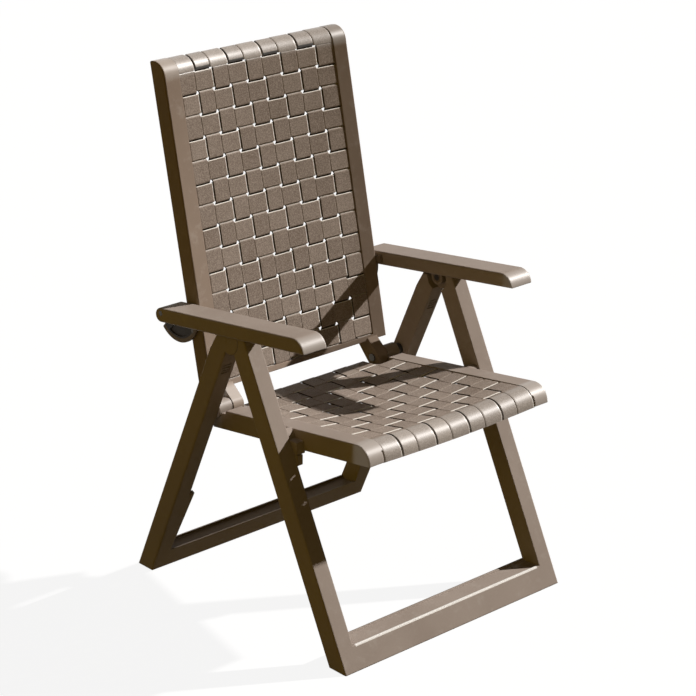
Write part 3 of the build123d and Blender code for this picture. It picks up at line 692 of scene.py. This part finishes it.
# Straps of the seat
# The same weave laid flat, nine each way, hung a little hollow between the seat's sides.
# Every second strap runs on over the rolled front edge and down its skirt. The outer straps stop a row
# short, and the last strap across is two columns shorter, because the hinges take the rear corners.
# A strap is drawn in millimetres, s to the rear and h up from the seat's face.
seat_rows = 9
seat_rise = 43.8
seat_start, seat_end = 10.0, 405.0
seat_front_y, seat_front_z, seat_tilt = -275.0, 441.0, math.radians(7.85)
seat_hollow_half, front_hollow, middle_sag = 205.0, 5.0, 11.5
nose_radius = 33.0
skirt_drop = 37.6
cell_stop = 0.4
strap_nose_start = 0.268


def seat_place(x, s, h):
    """From the seat's own view to metres: turned by the seat's tilt about its front edge."""
    y = seat_front_y + s * math.cos(seat_tilt) + h * math.sin(seat_tilt)
    z = seat_front_z - s * math.sin(seat_tilt) + h * math.cos(seat_tilt)
    return np.stack([x + 0 * y, y, z], axis=-1) / 1000


def seat_hollow(x, s):
    """Depth of the hollow: it fades evenly to the rear, and a half sine sags between front and rear."""
    share = np.clip(s / seat_end, 0, 1)
    depth = front_hollow * (1 - share) + middle_sag * np.sin(np.pi * share)
    return depth * bow(x, seat_hollow_half)


def seat_strap_long(number):
    """Path in the seat's view: down the skirt and over the nose for every second strap, then back
    along the field with the wave. The section is carried along it square to the path."""
    x0 = (number - middle) * pitch_x
    wrapped = number % 2 == 1
    cells = stations(seat_rows - 1 if number in (0, columns - 1) else seat_rows)
    s = seat_start + cells * seat_rise
    past = s - seat_start
    over = wave(cells + number % 2) * eased(s[-1] - s)
    over = np.where(cells < 0.5, -eased(past), over) if wrapped else over * eased(past)
    h = -mid_sink + step * over
    dive = dive_paint(cells, over, 0.3, -0.5)
    if wrapped:
        reach = nose_radius - wrap_sink
        fall = np.linspace(-skirt_drop, -nose_radius, 4)[:-1]
        angle = np.linspace(np.pi / 2, 0, 26)[:-1]
        flat = np.linspace(0, seat_start, 6)[:-1]
        climb = -mid_sink + step * eased(seat_start - flat)
        h = np.concatenate([fall, -nose_radius + reach * np.cos(angle), climb, h])
        s = np.concatenate([-reach + 0 * fall, -reach * np.sin(angle), flat, s])
        cells = np.concatenate([0 * fall, 0 * angle, 0 * flat, 1 + cells])
        dive = np.concatenate([0 * fall, 0 * angle, 0 * flat, dive])
    width, height = section(strap_half, edge_drop, strap_thick, upright_run)
    out_s, out_h = square_to(s, h)
    lift = height + top_lift
    x = to_band(x0 + width, number)[None, :] + 0 * s[:, None]
    s = s[:, None] + out_s[:, None] * lift[None, :]
    h = h[:, None] + out_h[:, None] * lift[None, :] - seat_hollow(x, s)
    # Painted shade on left edges, dives and under-parts; painted highlight on right edges and climbs.
    rim = edge_paint(width, strap_half, upright_run, -1.0, 0.25, dive)
    return tube(seat_place(x, s, h), cell_shades(cells, len(width)), rim)


def seat_strap_across(number):
    """The wave runs across the seat at one distance back, and the section lies along the seat."""
    on_rail = number == seat_rows - 1
    cells, x, over = lying_path(columns - 2 if on_rail else columns, (number + 1 + on_rail) % 2)
    half = (seat_rise - strap_gap) / 2
    width, height = section(half, edge_drop, strap_thick, lying_run)
    h = -mid_sink + step * over[:, None] + (height + top_lift)[None, :]
    s = seat_start + (number + 0.5) * seat_rise + width[None, :] + 0 * h
    x = x[:, None] + 0 * h
    # Painted highlight on front edges and dives; painted shade on rear edges, climbs and under-parts.
    rim = edge_paint(width, half, lying_paint_run, 1.0, -0.2, dive_paint(cells, over, -0.2, 0.8))
    return tube(seat_place(x, s, h - seat_hollow(x, s)), cell_shades(cells, len(width)), rim)


def nose_cell(number):
    """Raised stretch of the nose between two straps: up the skirt, then an arc, then flat."""
    x0 = (number - middle) * pitch_x
    fall = np.linspace(-skirt_drop, -nose_radius, 4)[:-1]
    angle = np.linspace(np.pi / 2, 0, 26)
    flat = np.linspace(0, seat_start - cell_stop, 5)[1:]
    s = np.concatenate([-nose_radius + 0 * fall, -nose_radius * np.sin(angle), flat])
    h = np.concatenate([fall, -nose_radius + nose_radius * np.cos(angle), 0 * flat])
    out_s = np.concatenate([-1 + 0 * fall, -np.sin(angle), 0 * flat])
    out_h = np.concatenate([0 * fall, np.cos(angle), 1 + 0 * flat])
    width, moved, height = cell_section(number)
    shade, rim = cell_shades(0 * s, len(width)), cell_edge_paint(width, s)
    x = x0 + moved[None, :] + 0 * s[:, None]
    s = s[:, None] + out_s[:, None] * height[None, :]
    h = h[:, None] + out_h[:, None] * height[None, :] - seat_hollow(x, s)
    return tube(seat_place(x, s, h), shade, rim)


def strap_nose_polish(where):
    """1 where the straps and the raised cells go over the nose."""
    return ahead_of(where, strap_nose_start)


seat_finish = woven_plastic("woven_seat", strap_nose_polish)
straps_long = [seat_strap_long(number) for number in range(columns)]
add_piece("seat_weave_long", straps_long, "seat", seat_finish, ["seat_straps_long", "seat_nose_wraps"])
straps_across = [seat_strap_across(number) for number in range(seat_rows)]
add_piece("seat_weave_across", straps_across, "seat", seat_finish, ["seat_straps_across"])
nose_cells = [nose_cell(number) for number in range(0, columns, 2)]
add_piece("seat_nose_cells", nose_cells, "seat", seat_finish)


# Armrests
# Hollow mouldings that turn on the knuckles' bushes, with a rolled front end under the hand.
# Taupe plastic like the legs', polished at that end, where it gets a satin coat and a painted sheen.
armrest_half = 0.300
hand_start = 0.172


def armrest_polish(where):
    """1 on the rolled front end, 0 elsewhere."""
    return ahead_of(where, hand_start) * off_sides(where, armrest_half)


dress(taupe_plastic("taupe_armrest", polish=armrest_polish), "armrest_left", "armrest_right")


# Latch sectors and armrest bushes
# Half-round notched plates screwed to the back, and the bushes that the armrests turn on.
# Plain nylon, nearly dull, with the tone of the frame on the bushes and the sectors' rim; inside the rim
# the sectors' faces are dark as painted shade.
sector_y, sector_z = 0.236, 0.557
rim_inside, rim_outside = 0.0535, 0.0560


def nylon_with_painted_shade():
    """Broad and fine noise in a dark colour, which stands as painted shade on the sectors' faces. From the
    sectors' rim outwards it turns to the tone of the frame, and the bushes, which lie further out, have
    that tone too."""
    face_shade_dark, face_shade_pale, pale_tint = (0.018, 0.013, 0.008), (0.045, 0.034, 0.022), (0.20, 0.155, 0.115)
    finish, shader, where = new_finish("nylon_with_painted_shade", IOR=1.5, Specular_IOR_Level=0.12)
    broad = where.grain(30.0, 3.0)
    speck = where.grain(800.0, 2.0)
    _, along, height = where.axes()
    along, height = along - sector_y, height - sector_z
    reach = (along * along + height * height).root()
    # Painted shade: the dark colour stays inside the sectors' rim; the rim and the bushes get the frame's
    # tone.
    body = (broad * 0.6 + speck * 0.4).colour(face_shade_dark, face_shade_pale)
    plug(shader.inputs["Base Color"], body.tint(reach.between(rim_inside, rim_outside) * 0.85, pale_tint))
    plug(shader.inputs["Roughness"], 0.42 + 0.2 * broad)
    plug(shader.inputs["Normal"], speck.relief(0.00008))
    return finish


nylon = nylon_with_painted_shade()
for side in ("left", "right"):
    dress(nylon, f"latch_sector_{side}", f"armrest_bush_{side}")


# Pins and screws
# Turned steel pins at the knuckles, seat pivots, back hinges and armrest latches, and the screws.
# Darkly plated against rust, with fine turning lines and a little dulling.
def plated_steel():
    """Grey metal whose height carries fine rings about the pins' own direction; its gloss drifts in
    broad patches.
    """
    plated_dark, plated_pale = (0.030, 0.025, 0.018), (0.080, 0.068, 0.052)
    finish, shader, where = new_finish("plated_steel", Metallic=1.0)
    broad = where.grain(60.0, 3.0)
    rings = where.stretched(2600.0, 60.0, 60.0).grain(1.0, 2.0)
    plug(shader.inputs["Base Color"], broad.colour(plated_dark, plated_pale))
    plug(shader.inputs["Roughness"], 0.38 + 0.25 * broad)
    plug(shader.inputs["Normal"], rings.relief(0.00003))
    return finish


steel = plated_steel()
dress(steel, "sector_screws")
for side in ("left", "right"):
    for kind in ("knuckle_pin", "seat_pivot_pin", "back_hinge_pin", "latch_pin"):
        dress(steel, f"{kind}_{side}")
